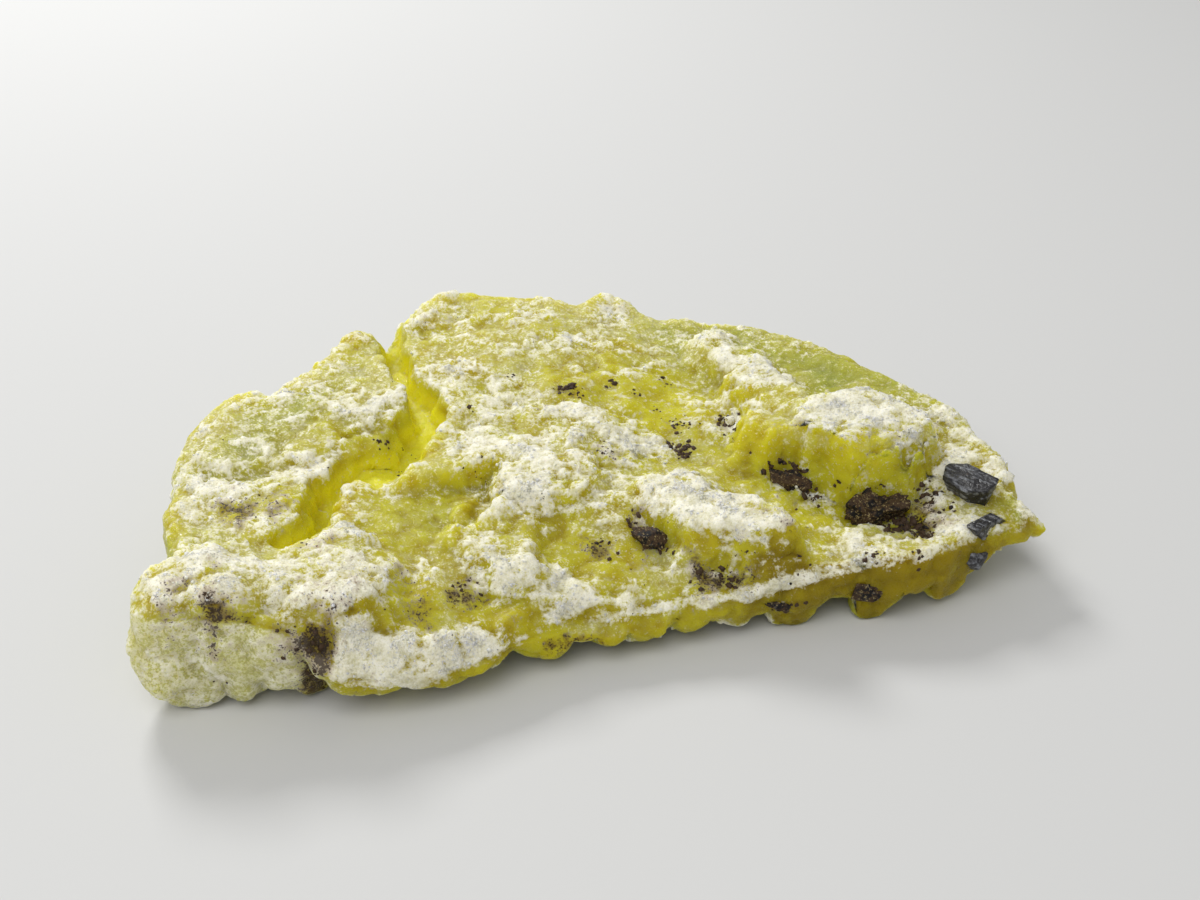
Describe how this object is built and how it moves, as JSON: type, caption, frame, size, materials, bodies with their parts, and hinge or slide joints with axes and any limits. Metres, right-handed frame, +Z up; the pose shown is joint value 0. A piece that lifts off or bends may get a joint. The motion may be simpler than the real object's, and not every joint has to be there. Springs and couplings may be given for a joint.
{
  "type": "brucite crystal specimen",
  "caption": "Translucent yellow brucite specimen: a half-moon fragment of a lobed vein crust with a white granular skin and dark grains of matrix.",
  "frame": {"origin": "on the plane the specimen's feet rest on, under the middle of its bounding box", "axes": "+X along the straight broken front to the pointed end, +Y to the arched back edge, +Z up out of the weathered upper side"},
  "size_m": [0.0392, 0.0251, 0.0066],
  "materials": {
    "yellow_brucite": "satin",
    "dark_matrix": "satin"
  },
  "bodies": {
    "root": {"brucite": "yellow_brucite", "black_grain_upper": "dark_matrix", "black_grain_lower": "dark_matrix", "black_grain_wall": "dark_matrix", "dark_seam_under_block": "dark_matrix", "dark_grain_ledge": "dark_matrix", "dark_grain_pit": "dark_matrix", "dark_grain_front_lobe": "dark_matrix", "dark_streak_front_wall": "dark_matrix"}
  },
  "joints": []
}
